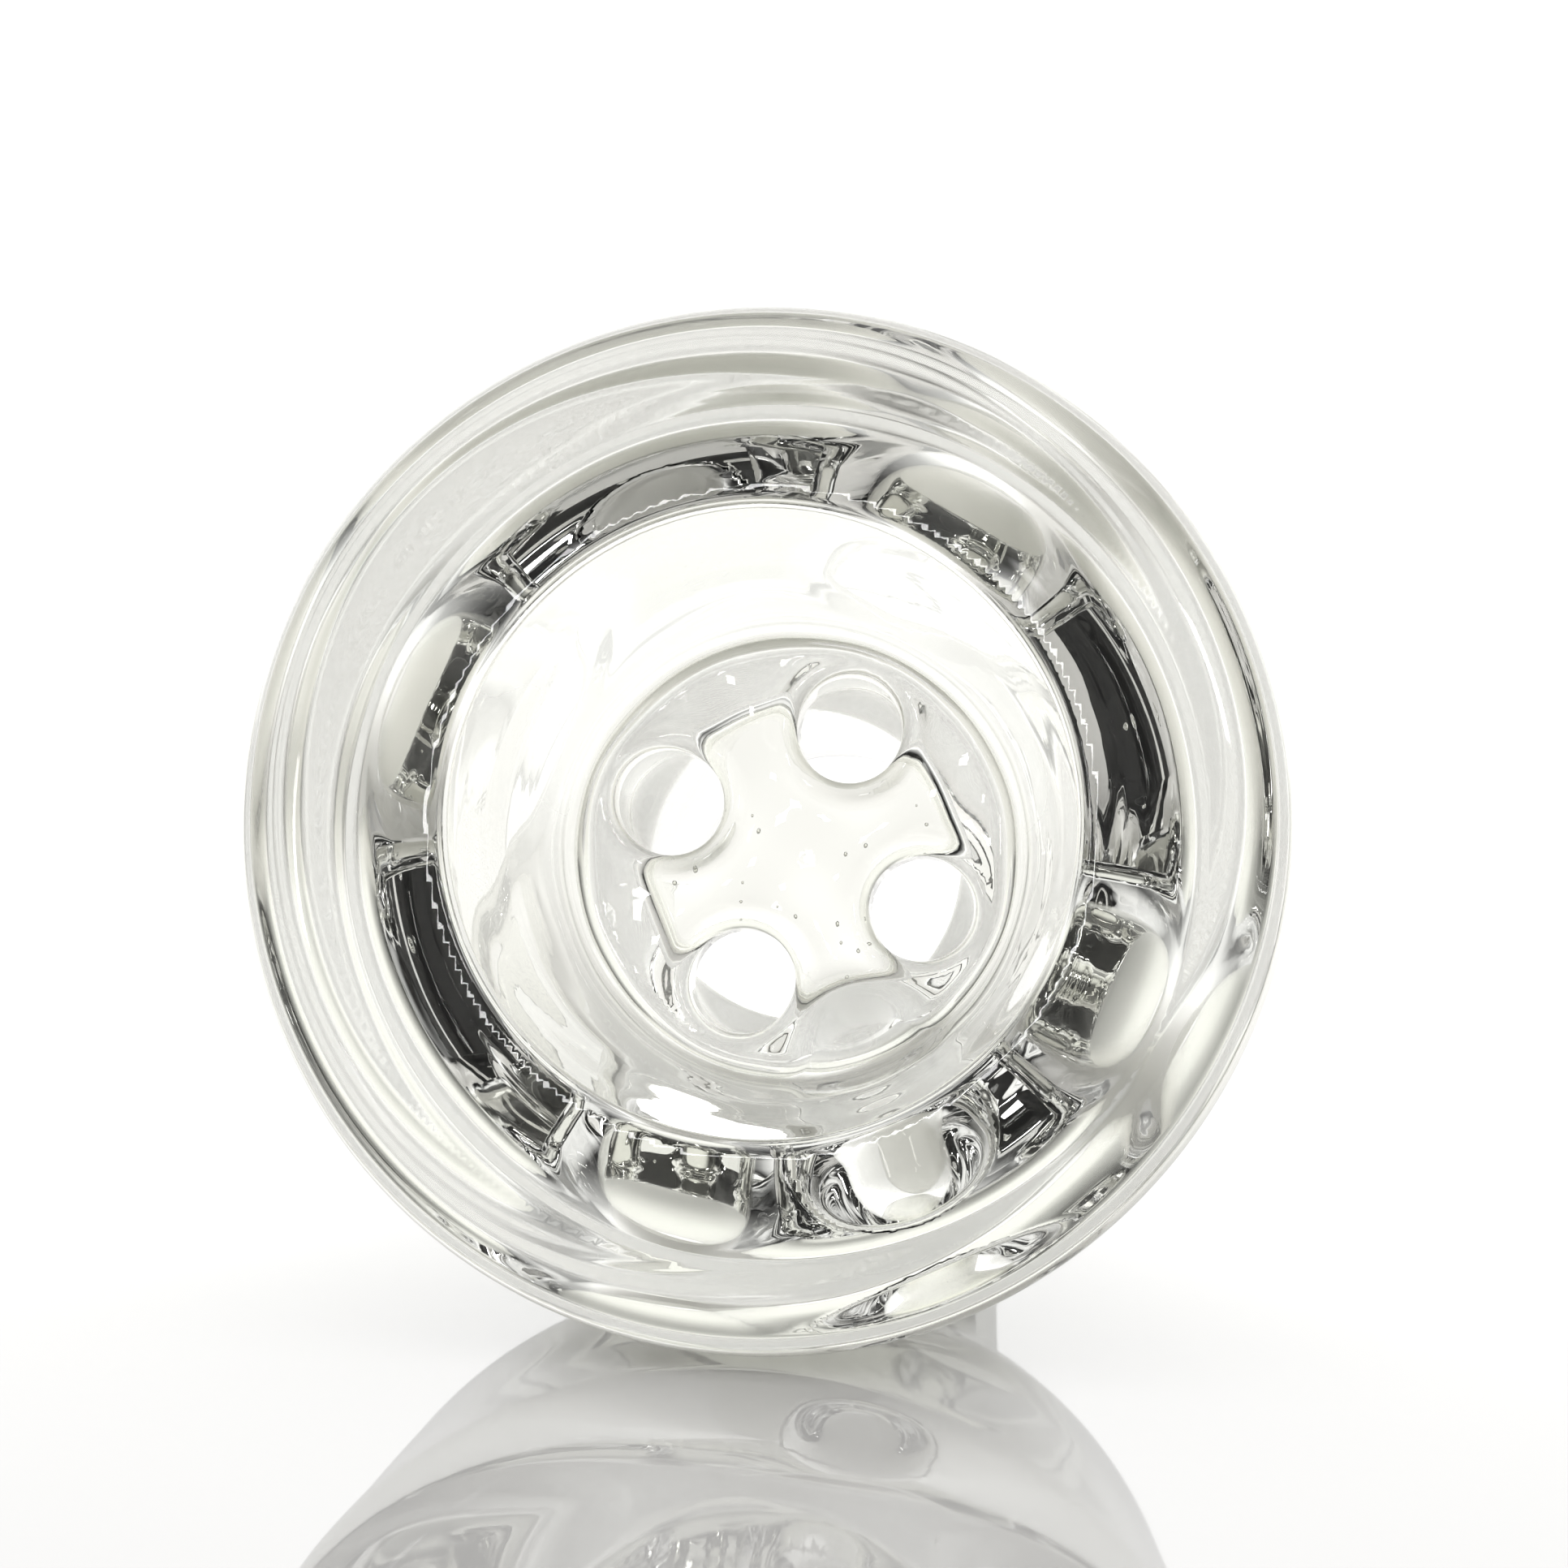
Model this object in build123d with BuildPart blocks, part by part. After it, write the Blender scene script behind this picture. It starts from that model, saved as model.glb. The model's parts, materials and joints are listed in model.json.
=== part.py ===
"""A heavy clear glass bowl with a four-hole glass screen, on a tapered ground joint.

The piece is lampworked: each sub-part below is shaped on its own and fused to its neighbours. It
lies as it does when put down on a table, on its rim, the end of its joint and its roll stop, with
its mouth towards -Y. The origin is on the table, under the middle of the whole piece.

Sizes are in millimetres. A "height" is measured along the piece's own axis, from the end of the
joint towards the mouth. A "radius" is measured out from that axis.
"""

import os
from math import asin, atan2, cos, degrees, hypot, radians, sin, tan

from build123d import *

# Ground joint: a 14/23 cone, with a taper of 1 in 10 on its diameter
joint_length = 23.0
joint_top_diameter = 14.5
joint_taper = 0.1
joint_end_rounding = 0.3
bore_diameter = 10.2

# Neck: the collar that carries the cup on the joint
neck_length = 4.0
neck_straight = 3.0
neck_flare_rounding = 3.0

# Screen: a thick glass disc with a ring of holes
screen_thickness = 3.4
hole_count = 4
hole_diameter = 3.4
hole_circle_diameter = 8.8
hole_first_angle = 69.5
hole_lip_rounding = 0.4
groove_depth = 2.2
screen_edge_width = 0.55

# Cup: a heavy wall around and above the screen
cup_depth = 18.5
cup_floor_margin = 0.7
cup_cove_rounding = 0.6
shoulder_diameter = 25.7
shoulder_rise = 4.5
shoulder_rounding = 4.5

# Rim: the rolled lip, a full round bead outside and a softer round at the mouth
rim_diameter = 32.0
rim_length = 6.0
rim_bead_radius = 3.0
mouth_diameter = 19.6
mouth_rounding = 0.5

# Roll stop: the short peg that keeps the piece from rolling
stop_rise = 2.5
stop_radius = 2.4
stop_angle_from_down = 22.0

# Heights of the fused seams
neck_top = joint_length + neck_length
screen_top = neck_top + screen_thickness
rim_top = screen_top + cup_depth
rim_base = rim_top - rim_length

# Ground joint and bore
bore_radius = bore_diameter / 2
joint_top_radius = joint_top_diameter / 2
joint_slope = joint_taper / 2
joint_end_radius = joint_top_radius - joint_slope * joint_length
joint_foot_radius = joint_end_radius - joint_end_rounding * (hypot(1, joint_slope) - joint_slope)

# Neck and shoulder: straight at first, then one flare out to the cup's shoulder
shoulder_radius = shoulder_diameter / 2
shoulder_height = neck_top + shoulder_rise
flare_start = joint_length + neck_straight
flare_slope = (shoulder_radius - joint_top_radius) / (shoulder_height - flare_start)
neck_top_radius = joint_top_radius + flare_slope * (neck_top - flare_start)

# Inside of the cup, a straight cone from the edge of its floor to the mouth
screen_radius = (hole_circle_diameter + hole_diameter) / 2 + screen_edge_width
cup_floor_radius = screen_radius + cup_floor_margin
mouth_radius = mouth_diameter / 2
inside_slope = (mouth_radius - cup_floor_radius) / cup_depth
rim_base_inner_radius = mouth_radius - inside_slope * rim_length

# Outside of the cup, a straight cone from the shoulder that runs into the bead of the rim
bead_centre_radius = rim_diameter / 2 - rim_bead_radius
bead_centre_height = rim_top - rim_bead_radius
bead_step_radius = bead_centre_radius - shoulder_radius
bead_step_height = bead_centre_height - shoulder_height
bead_distance = hypot(bead_step_radius, bead_step_height)
wall_angle = atan2(bead_step_radius, bead_step_height) + asin(rim_bead_radius / bead_distance)
bead_foot_radius = bead_centre_radius + rim_bead_radius * cos(wall_angle)
bead_foot_height = bead_centre_height - rim_bead_radius * sin(wall_angle)
rim_base_radius = bead_foot_radius - (bead_foot_height - rim_base) * tan(wall_angle)

# The piece leans back until the end of its joint, or the wall of its cup, meets the table
joint_step_radius = bead_centre_radius - joint_foot_radius
joint_step_height = bead_centre_height - joint_end_rounding
joint_distance = hypot(joint_step_radius, joint_step_height)
joint_angle = atan2(joint_step_radius, joint_step_height)
joint_angle += asin((rim_bead_radius - joint_end_rounding) / joint_distance)
lean = min(joint_angle, wall_angle)
axis_rise = sin(lean)
axis_run = cos(lean)

# Where the end of the joint then stands, with the piece centred over the origin
end_above_table = rim_bead_radius + bead_centre_radius * axis_run - bead_centre_height * axis_rise
rim_reach = bead_centre_height * axis_run + bead_centre_radius * axis_rise + rim_bead_radius
end_reach = joint_foot_radius * axis_rise - joint_end_rounding * axis_run + joint_end_rounding
joint_end = Vector(0, (rim_reach - end_reach) / 2, end_above_table)
to_mouth = Vector(0, -axis_run, axis_rise)
piece_axis = Axis(joint_end, to_mouth)

# Lengthwise sketches have their x along a radius and their y along the piece's axis
lengthwise = Plane(origin=joint_end, x_dir=(1, 0, 0), z_dir=(0, -axis_rise, -axis_run))
crosswise = Plane(origin=joint_end, x_dir=(1, 0, 0), z_dir=to_mouth)

# The roll stop points down and to one side, and its round tip touches the table
stop_height = neck_top + stop_rise
stop_turn = radians(stop_angle_from_down)
stop_centre = joint_end + to_mouth * stop_height
to_stop = Vector(sin(stop_turn), -cos(stop_turn) * axis_rise, -cos(stop_turn) * axis_run)
stop_axis = Axis(stop_centre, to_stop)
stop_section = Plane(origin=stop_centre, x_dir=to_mouth, z_dir=to_mouth.cross(to_stop))
stop_above_table = end_above_table + stop_height * axis_rise
stop_tip_centre = (stop_above_table - stop_radius) / (cos(stop_turn) * axis_run)


# Ground joint, a tapered tube
with BuildPart() as joint_tube:
    with BuildSketch(lengthwise):
        with BuildLine():
            FilletPolyline(
                (bore_radius, 0),
                (joint_end_radius, 0),
                (joint_top_radius, joint_length),
                (bore_radius, joint_length),
                radius=(joint_end_rounding, joint_end_rounding, 0, 0),
                close=True,
            )
        make_face()
    revolve(axis=piece_axis)

# Neck, a collar that flares out of the joint; the holes run on as grooves down its bore
with BuildPart() as neck_collar:
    with BuildSketch(lengthwise):
        with BuildLine():
            FilletPolyline(
                (bore_radius, joint_length),
                (joint_top_radius, joint_length),
                (joint_top_radius, flare_start),
                (neck_top_radius, neck_top),
                (bore_radius, neck_top),
                radius=(0, 0, neck_flare_rounding, 0, 0),
                close=True,
            )
        make_face()
    revolve(axis=piece_axis)
    with BuildSketch(crosswise.offset(neck_top)):
        with PolarLocations(hole_circle_diameter / 2, hole_count, start_angle=hole_first_angle):
            Circle(hole_diameter / 2)
    extrude(amount=-groove_depth, mode=Mode.SUBTRACT)

# Screen, with the upper lips of its holes melted round
with BuildPart() as four_hole_screen:
    with BuildSketch(crosswise.offset(neck_top)):
        Circle(screen_radius)
        with PolarLocations(hole_circle_diameter / 2, hole_count, start_angle=hole_first_angle):
            Circle(hole_diameter / 2, mode=Mode.SUBTRACT)
    extrude(amount=screen_thickness)
    upper_face = four_hole_screen.faces().sort_by(piece_axis)[-1]
    fillet(upper_face.inner_wires().edges(), radius=hole_lip_rounding)

# Cup wall, with a small cove where it meets the face of the screen
with BuildPart() as cup_wall:
    with BuildSketch(lengthwise):
        with BuildLine():
            FilletPolyline(
                (screen_radius, neck_top),
                (neck_top_radius, neck_top),
                (shoulder_radius, shoulder_height),
                (rim_base_radius, rim_base),
                (rim_base_inner_radius, rim_base),
                (cup_floor_radius, screen_top),
                (screen_radius, screen_top),
                radius=(0, 0, shoulder_rounding, 0, 0, cup_cove_rounding, 0),
                close=True,
            )
        make_face()
    revolve(axis=piece_axis)

# Rim, gathered into a thick round lip
with BuildPart() as rolled_rim:
    with BuildSketch(lengthwise):
        with BuildLine():
            Polyline(
                (rim_base_inner_radius, rim_base),
                (rim_base_radius, rim_base),
                (bead_foot_radius, bead_foot_height),
            )
            CenterArc(
                center=(bead_centre_radius, bead_centre_height),
                radius=rim_bead_radius,
                start_angle=-degrees(wall_angle),
                arc_size=90 + degrees(wall_angle),
            )
            FilletPolyline(
                (bead_centre_radius, rim_top),
                (mouth_radius, rim_top),
                (rim_base_inner_radius, rim_base),
                radius=mouth_rounding,
            )
        make_face()
    revolve(axis=piece_axis)

# Roll stop, a round-tipped peg with its root shaped to the neck and the cup's shoulder
with BuildPart() as roll_stop:
    with BuildSketch(stop_section):
        with BuildLine():
            Polyline(
                (0, stop_tip_centre + stop_radius),
                (0, joint_top_radius),
                (stop_radius, joint_top_radius),
                (stop_radius, stop_tip_centre),
            )
            CenterArc(center=(0, stop_tip_centre), radius=stop_radius, start_angle=0, arc_size=90)
        make_face()
    revolve(axis=stop_axis)
    with BuildSketch(lengthwise):
        with BuildLine():
            FilletPolyline(
                (0, joint_length),
                (joint_top_radius, joint_length),
                (joint_top_radius, flare_start),
                (shoulder_radius, shoulder_height),
                (rim_base_radius, rim_base),
                (0, rim_base),
                radius=(0, 0, neck_flare_rounding, shoulder_rounding, 0, 0),
                close=True,
            )
        make_face()
    revolve(axis=piece_axis, mode=Mode.SUBTRACT)


os.makedirs("parts", exist_ok=True)

joint_tube.part.label = "joint_tube"
export_step(joint_tube.part, "parts/joint_tube.step")

neck_collar.part.label = "neck_collar"
export_step(neck_collar.part, "parts/neck_collar.step")

four_hole_screen.part.label = "four_hole_screen"
export_step(four_hole_screen.part, "parts/four_hole_screen.step")

cup_wall.part.label = "cup_wall"
export_step(cup_wall.part, "parts/cup_wall.step")

rolled_rim.part.label = "rolled_rim"
export_step(rolled_rim.part, "parts/rolled_rim.step")

roll_stop.part.label = "roll_stop"
export_step(roll_stop.part, "parts/roll_stop.step")
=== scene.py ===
# %% [markdown]
# # A lampworked glass bowl on a ground joint
#
# The bowl is one body of clear glass, melted together from six worked pieces: a ground joint, a
# neck, a disc with four holes, a wall, a rolled rim and a roll stop. This lesson builds it as a
# single smooth surface and then cuts that surface at the fused seams, so that each piece is its
# own object and light still runs through the seams as if they weren't there. Lengths are in
# millimetres along the bowl's own axis until the last step of the shape, which lays the bowl on
# the table in metres.

# %% Load the frame
import json
import math

import bpy
import numpy as np
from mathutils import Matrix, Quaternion, Vector


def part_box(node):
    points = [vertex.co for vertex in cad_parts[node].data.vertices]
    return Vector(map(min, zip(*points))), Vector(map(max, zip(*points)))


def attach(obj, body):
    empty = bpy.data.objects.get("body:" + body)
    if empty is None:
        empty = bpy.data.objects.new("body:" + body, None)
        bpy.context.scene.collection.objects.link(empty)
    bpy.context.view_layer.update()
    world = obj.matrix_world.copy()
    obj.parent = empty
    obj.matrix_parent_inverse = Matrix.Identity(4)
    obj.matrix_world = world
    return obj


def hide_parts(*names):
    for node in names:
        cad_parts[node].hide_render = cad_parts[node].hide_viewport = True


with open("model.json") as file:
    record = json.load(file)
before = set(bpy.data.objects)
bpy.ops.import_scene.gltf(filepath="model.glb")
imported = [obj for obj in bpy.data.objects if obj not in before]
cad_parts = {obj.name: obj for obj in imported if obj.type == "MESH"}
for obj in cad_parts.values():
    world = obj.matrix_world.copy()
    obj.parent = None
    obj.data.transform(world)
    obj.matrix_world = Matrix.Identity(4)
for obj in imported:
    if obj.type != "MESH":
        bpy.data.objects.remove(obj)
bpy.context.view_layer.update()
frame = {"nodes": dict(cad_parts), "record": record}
record = frame["record"]
print("frame nodes:", sorted(frame["nodes"]))

# %% [markdown]
# ## The bowl's own axis
#
# The bowl lies on its side and leans back a little, so neither its axis nor its rim is level. It
# is easier to shape it upright. The ground joint's mount says where the axis is, and three unit
# vectors carry upright points to where the bowl lies: right, up across the bowl, and along it to
# the mouth.

# %% Axis of the bowl
MM = 0.001
mounts = {mount["name"]: mount for mount in record["mounts"]}
cone = mounts["ground_joint"]
to_mouth = -np.array(cone["axis"], float)
to_mouth /= np.linalg.norm(to_mouth)
to_right = np.array([1.0, 0.0, 0.0])
to_up = np.cross(to_mouth, to_right)
axes = np.stack([to_right, to_up, to_mouth])
joint_end = np.array(cone["pos_m"]) / MM - to_mouth * cone["dims"]["length_mm"] / 2
print("axis leans", round(math.degrees(math.asin(to_mouth[2])), 2), "degrees")


def upright(points_m):
    """Points of the row frame, in metres, as upright points in millimetres."""
    return (np.asarray(points_m) / MM - joint_end) @ axes.T


def laid_down(points_mm):
    """Upright points in millimetres as points of the row frame, in metres."""
    return (points_mm @ axes + joint_end) * MM


# %% Sizes read from the CAD pieces
def cad_rings(node):
    """Heights and radii of a CAD node's points, upright."""
    mesh = frame["nodes"][node].data
    points = np.empty(len(mesh.vertices) * 3)
    mesh.vertices.foreach_get("co", points)
    points = upright(points.reshape(-1, 3))
    return points[:, 2], np.hypot(points[:, 0], points[:, 1])


rim_h, rim_r = cad_rings("rolled_rim")
wall_h, wall_r = cad_rings("cup_wall")
screen_h, screen_r = cad_rings("four_hole_screen")
joint_h, joint_r = cad_rings("joint_tube")
RIM_TOP = rim_h.max()
RIM_BASE = rim_h.min()
RIM_R = rim_r.max()
MOUTH_DEPTH = 3.0
MOUTH_R = rim_r[rim_h > RIM_TOP - MOUTH_DEPTH].min()
NECK_TOP = wall_h.min()
SCREEN_TOP = screen_h.max()
SCREEN_R = screen_r.max()
JOINT_TOP = joint_h.max()
JOINT_R = joint_r.max()
BORE_R = joint_r.min()


def in_short(values, digits=2):
    """Numbers rounded for printing."""
    return [round(float(value), digits) for value in values]


print("heights", in_short((JOINT_TOP, NECK_TOP, SCREEN_TOP, RIM_BASE, RIM_TOP)))
print("radii", in_short((BORE_R, JOINT_R, SCREEN_R, MOUTH_R, RIM_R)))

# %% [markdown]
# ## One smooth surface for fused glass
#
# On the real bowl no seam shows: every join was melted until it ran. Solids joined by booleans
# would keep hard creases there, and subdivision would round the four holes unevenly. So the glass
# is written as a field instead: a number at each point that is negative inside the glass, zero on
# its skin and positive outside. Two shapes are joined or cut with a rounded maximum or minimum,
# and the rounding is the flame's.

# %% Rounded joins
def blend_max(a, b, width):
    """The larger of two distances, with the crease melted over a width: what both shapes share."""
    near = np.maximum(width - np.abs(a - b), 0) / width
    return np.maximum(a, b) + near * near * width / 4


def blend_min(a, b, width):
    """The smaller of two distances, with the crease filled over a width: two shapes joined."""
    return -blend_max(-a, -b, width)


def round_max(a, b, radius):
    """As blend_max, with a true round of that radius where the two surfaces are square."""
    out_a = np.maximum(a + radius, 0)
    out_b = np.maximum(b + radius, 0)
    return np.hypot(out_a, out_b) + np.minimum(np.maximum(a, b), -radius)


print("a crease at 0, 0 is rounded to", blend_max(np.zeros(1), np.zeros(1), 2.0)[0])

# %% [markdown]
# The outside is one line turned about the axis: the cone of the joint, a flare at 45 degrees
# under the cup and the cup's steeper wall, melted into each other. The wall's line stops a little
# below the shoulder, or it would run on down and pinch the joint. A worked tube is never quite
# round, so the line also wanders by a few hundredths of a millimetre as it goes round and along.

# %% Outside of the bowl
JOINT_SLOPE = 0.05
FLARE_START = JOINT_TOP + 3.0
SHOULDER_R = 12.85
SHOULDER_H = NECK_TOP + 4.5
FLARE_SLOPE = (SHOULDER_R - JOINT_R) / (SHOULDER_H - FLARE_START)
WALL_SLOPE = 0.214
WALL_FOOT = 6.0
NECK_MELT = 2.6
SHOULDER_MELT = 3.0
RIM_ROUND = 3.0
END_ROUND = 0.3
WANDER = 0.03
LEAN_SHARE = 0.96


def wander(angle, h):
    """How far the worked surface strays inwards, in millimetres."""
    waves = np.sin(3 * angle + 0.21 * h) + 0.6 * np.sin(5 * angle - 0.33 * h + 1.0)
    return WANDER * (2.0 + waves + 0.4 * np.sin(0.9 * h + 2 * angle))


def outside_radius(h):
    """Radius of the outer skin at each height."""
    cone_r = JOINT_R + JOINT_SLOPE * (h - JOINT_TOP)
    flare_r = JOINT_R + FLARE_SLOPE * (h - FLARE_START)
    wall_r = SHOULDER_R + WALL_SLOPE * np.maximum(h - SHOULDER_H, -WALL_FOOT)
    return blend_min(blend_max(cone_r, flare_r, NECK_MELT), wall_r, SHOULDER_MELT)


def outside(r, angle, h):
    """The bowl as if it were solid: the turned line, rounded at the rim and the joint's end."""
    skin = (r - outside_radius(h) + wander(angle, h)) * LEAN_SHARE
    return round_max(round_max(skin, h - RIM_TOP, RIM_ROUND), -h, END_ROUND)


seam_heights = np.array([JOINT_TOP, NECK_TOP, RIM_BASE])
print("outside radius at the seams", in_short(outside_radius(seam_heights)))

# %% [markdown]
# The hollow of the cup is a cone with a small cove at its foot. Its floor is the face of the
# screen, which sagged a little between the holes while it was soft and stands up in a low lip
# round each hole. The bore below is a plain cylinder that ends in the screen's domed underside,
# and swells slightly just under it, where the joint was blown onto the neck.

# %% Hollows
CUP_FLOOR_R = 7.35
CUP_SLOPE = (MOUTH_R - CUP_FLOOR_R) / (RIM_TOP - SCREEN_TOP)
COVE_ROUND = 0.9
MOUTH_ROUND = 0.5
HOLES = 4
HOLE_R = 1.7
HOLE_RING_R = 4.4
FIRST_HOLE = math.radians(69.5)
GROOVE = 2.2
GROOVE_MELT = 1.2
HOLE_MELT = 0.7
HOLE_OVERSHOOT = 3.0
HOLE_TOP_MELT = 0.8
UNDER_DOME = 0.35
BORE_ROUND = 0.6
BORE_SWELL = 0.3
SWELL_BELOW = 1.3
SWELL_LENGTH = 1.0
CUP_WANDER = 0.7
CUP_WANDER_TURN = 1.0
FACE_SAG = 0.1
LIP_HEIGHT = 0.16
LIP_WIDTH = 0.7
ARM_WAVE = 0.10
FACE_RIPPLE = 0.05
FAR_AWAY = 1e3
hole_angles = [FIRST_HOLE + 2 * math.pi * n / HOLES for n in range(HOLES)]


def hole_distance(x, y):
    """Distance from the nearest hole's wall, and negative inside the hole."""
    nearest = np.full(x.shape, FAR_AWAY)
    for angle in hole_angles:
        away = np.hypot(x - HOLE_RING_R * math.cos(angle), y - HOLE_RING_R * math.sin(angle))
        nearest = np.minimum(nearest, away - HOLE_R)
    return nearest


def screen_face(x, y, r, angle):
    """Height of the screen's upper face: low lips round the holes, and a soft dip in each arm."""
    lips = LIP_HEIGHT * np.exp(-(hole_distance(x, y) / LIP_WIDTH) ** 2)
    arms = ARM_WAVE * np.cos(HOLES * (angle - FIRST_HOLE)) * (r / 5) ** 2 * np.exp(-(r / 6.5) ** 4)
    ripple = FACE_RIPPLE * np.sin(1.7 * x + 0.8) * np.cos(1.4 * y)
    return SCREEN_TOP - FACE_SAG + lips + arms + ripple


def glass(x, y, h):
    """The field of the whole bowl: negative inside the glass."""
    r = np.hypot(x, y)
    angle = np.arctan2(y, x)
    body = outside(r, angle, h)
    cup_radius = CUP_FLOOR_R + CUP_SLOPE * (h - SCREEN_TOP)
    cup_wall = r - cup_radius + CUP_WANDER * wander(angle + CUP_WANDER_TURN, h)
    cup = round_max(cup_wall, screen_face(x, y, r, angle) - h, COVE_ROUND)
    body = round_max(body, -cup, MOUTH_ROUND)
    under = NECK_TOP - UNDER_DOME * np.maximum(1 - (r / BORE_R) ** 2, 0)
    swell = BORE_SWELL * np.exp(-((h - NECK_TOP + SWELL_BELOW) / SWELL_LENGTH) ** 2)
    bore = round_max(r - BORE_R - swell, h - under, BORE_ROUND)
    body = round_max(body, -bore, END_ROUND)
    hole = hole_distance(x, y)
    hole = blend_max(hole, NECK_TOP - GROOVE - h, GROOVE_MELT)
    hole = blend_max(hole, h - SCREEN_TOP - HOLE_OVERSHOOT, HOLE_TOP_MELT)
    body = blend_max(body, -hole, HOLE_MELT)
    return blend_min(body, peg(x, y, h), PEG_MELT)


# %% [markdown]
# The roll stop is a drop of glass drawn out to a short peg. It points down and to one side, far
# enough to touch the table, and melts into the shoulder of the cup.

# %% Roll stop
PEG_H = 29.5
PEG_R = 2.4
PEG_MELT = 1.2
peg_low, peg_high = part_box("roll_stop")
peg_centre = upright([(np.array(peg_low) + np.array(peg_high)) / 2])[0]
PEG_TURN = math.radians(-68.0)
peg_way = np.array([math.cos(PEG_TURN), math.sin(PEG_TURN), 0.0])
table_drop = (joint_end + to_mouth * PEG_H)[2]
peg_down = -(peg_way @ axes)[2]
PEG_TIP = (table_drop - PEG_R) / peg_down
PEG_ROOT = 7.0


def peg(x, y, h):
    """Distance from a round-ended rod along the peg's line."""
    along = x * peg_way[0] + y * peg_way[1]
    aside = x * peg_way[1] - y * peg_way[0]
    beyond = along - np.clip(along, PEG_ROOT, PEG_TIP)
    return np.sqrt(beyond ** 2 + aside ** 2 + (h - PEG_H) ** 2) - PEG_R


print("peg tip centre at radius", round(PEG_TIP, 2), "mm")
print("CAD piece centred on", np.round(peg_centre, 1))

# %% [markdown]
# ## From field to mesh
#
# Surface nets turn the field into quads. The box round the bowl is cut into small cells, and each
# cell that the skin passes through gets one point, at the mean of where the skin crosses the
# cell's edges. Four neighbouring cells round a crossed edge make a quad. Blender's own Volume to
# Mesh works alike, but its points stay a little off the skin, and clear glass shows the smallest
# dent.

# %% Surface nets
CELL = 0.2
MARGIN = 0.9
SLAB = 16


def skin_of(field, low, high, cell):
    """Points and quads where the field changes sign."""
    counts = [int(math.ceil((b - a) / cell)) + 1 for a, b in zip(low, high)]
    ticks = [a + cell * np.arange(n) for a, n in zip(low, counts)]
    values = np.empty(counts, np.float32)
    for start in range(0, counts[2], SLAB):
        stop = start + SLAB
        slab = np.meshgrid(ticks[0], ticks[1], ticks[2][start:stop], indexing="ij")
        values[:, :, start:stop] = field(*slab)
    inside = values < 0
    corners = [(i, j, k) for i in (0, 1) for j in (0, 1) for k in (0, 1)]
    shape = [n - 1 for n in counts]
    full = np.zeros(shape, np.int8)
    for i, j, k in corners:
        full += inside[i:i + shape[0], j:j + shape[1], k:k + shape[2]]
    cells = np.argwhere((full > 0) & (full < 8))
    number = np.full(shape, -1)
    number[tuple(cells.T)] = np.arange(len(cells))
    at_corner = {c: values[tuple((cells + c).T)] for c in corners}
    total = np.zeros((len(cells), 3))
    crossings = np.zeros(len(cells))
    for c in corners:
        for d in range(3):
            if c[d]:
                continue
            far = tuple(1 if i == d else c[i] for i in range(3))
            a, b = at_corner[c], at_corner[far]
            crossed = (a < 0) != (b < 0)
            step = a[crossed] / (a - b)[crossed]
            total[crossed] += np.array(c)
            total[crossed, d] += step
            crossings += crossed
    points = (cells + total / crossings[:, None]) * cell + np.array(low)
    quads = []
    for d in range(3):
        u, v = (d + 1) % 3, (d + 2) % 3
        before = [slice(None)] * 3
        after = [slice(None)] * 3
        before[d] = slice(0, -1)
        after[d] = slice(1, None)
        start_inside = inside[tuple(before)]
        edges = np.argwhere(start_inside != inside[tuple(after)])

        def beside(du, dv):
            cell_of = edges.copy()
            cell_of[:, u] -= du
            cell_of[:, v] -= dv
            return number[tuple(cell_of.T)]

        quad = np.stack([beside(1, 1), beside(0, 1), beside(0, 0), beside(1, 0)], 1)
        turned = ~start_inside[tuple(edges.T)]
        quad[turned] = quad[turned][:, ::-1]
        quads.append(quad)
    return points, np.concatenate(quads)


def slope_of(field, points, step=0.01):
    """Gradient of the field: square to the skin, pointing out of the glass."""
    gradient = np.empty_like(points)
    for d in range(3):
        shift = np.zeros(3)
        shift[d] = step
        gradient[:, d] = (field(*(points + shift).T) - field(*(points - shift).T)) / (2 * step)
    return gradient


def onto_skin(points):
    """Points moved along the gradient until they lie on the skin."""
    gradient = slope_of(glass, points)
    size = np.maximum((gradient * gradient).sum(1), 1e-3)
    return points - (glass(*points.T) / size)[:, None] * gradient


reach = RIM_R + MARGIN
points, quads = skin_of(glass, (-reach, -reach, -MARGIN), (reach, reach, RIM_TOP + MARGIN), CELL)
print(len(points), "points and", len(quads), "quads")

# %% [markdown]
# The points are now relaxed along the skin, which evens out the quads, and dropped back onto it.

# %% Relax the mesh
def relaxed(points, quads, rounds=2):
    """Points moved halfway to the mean of their neighbours, and back onto the skin."""
    edges = np.concatenate([quads[:, [i, (i + 1) % 4]] for i in range(4)])
    count = sum(np.bincount(edges[:, end], minlength=len(points)) for end in (0, 1))
    for _ in range(rounds):
        mean = np.empty_like(points)
        for d in range(3):
            ahead = np.bincount(edges[:, 0], points[edges[:, 1], d], len(points))
            behind = np.bincount(edges[:, 1], points[edges[:, 0], d], len(points))
            mean[:, d] = (ahead + behind) / count
        points = onto_skin((points + mean) / 2)
    return onto_skin(points)


points = relaxed(points, quads)
print("farthest point off the skin:", float(np.abs(glass(*points.T)).max()), "mm")

# %% [markdown]
# ## Cutting at the fused seams
#
# Each seam is a surface through the glass: a level plane at the top of the joint, of the neck and
# of the wall, a cylinder round the screen, and a rod round the peg. A triangle that a seam
# crosses is split, and the new points are set exactly on both the seam and the skin. Every piece
# keeps the normals of the whole skin, so no crease shows where two pieces meet.

# %% Seams
SCREEN_SEAM = NECK_TOP - 0.9
PEG_SEAM_R = 3.2
OUTSIDE_ONLY = 9.0
NOT_THE_PEG = 50.0
SEAM_ROUNDS = 6


def screen_seam(x, y, h):
    """Negative in the disc of the screen."""
    return np.hypot(x, y) - SCREEN_R


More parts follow.
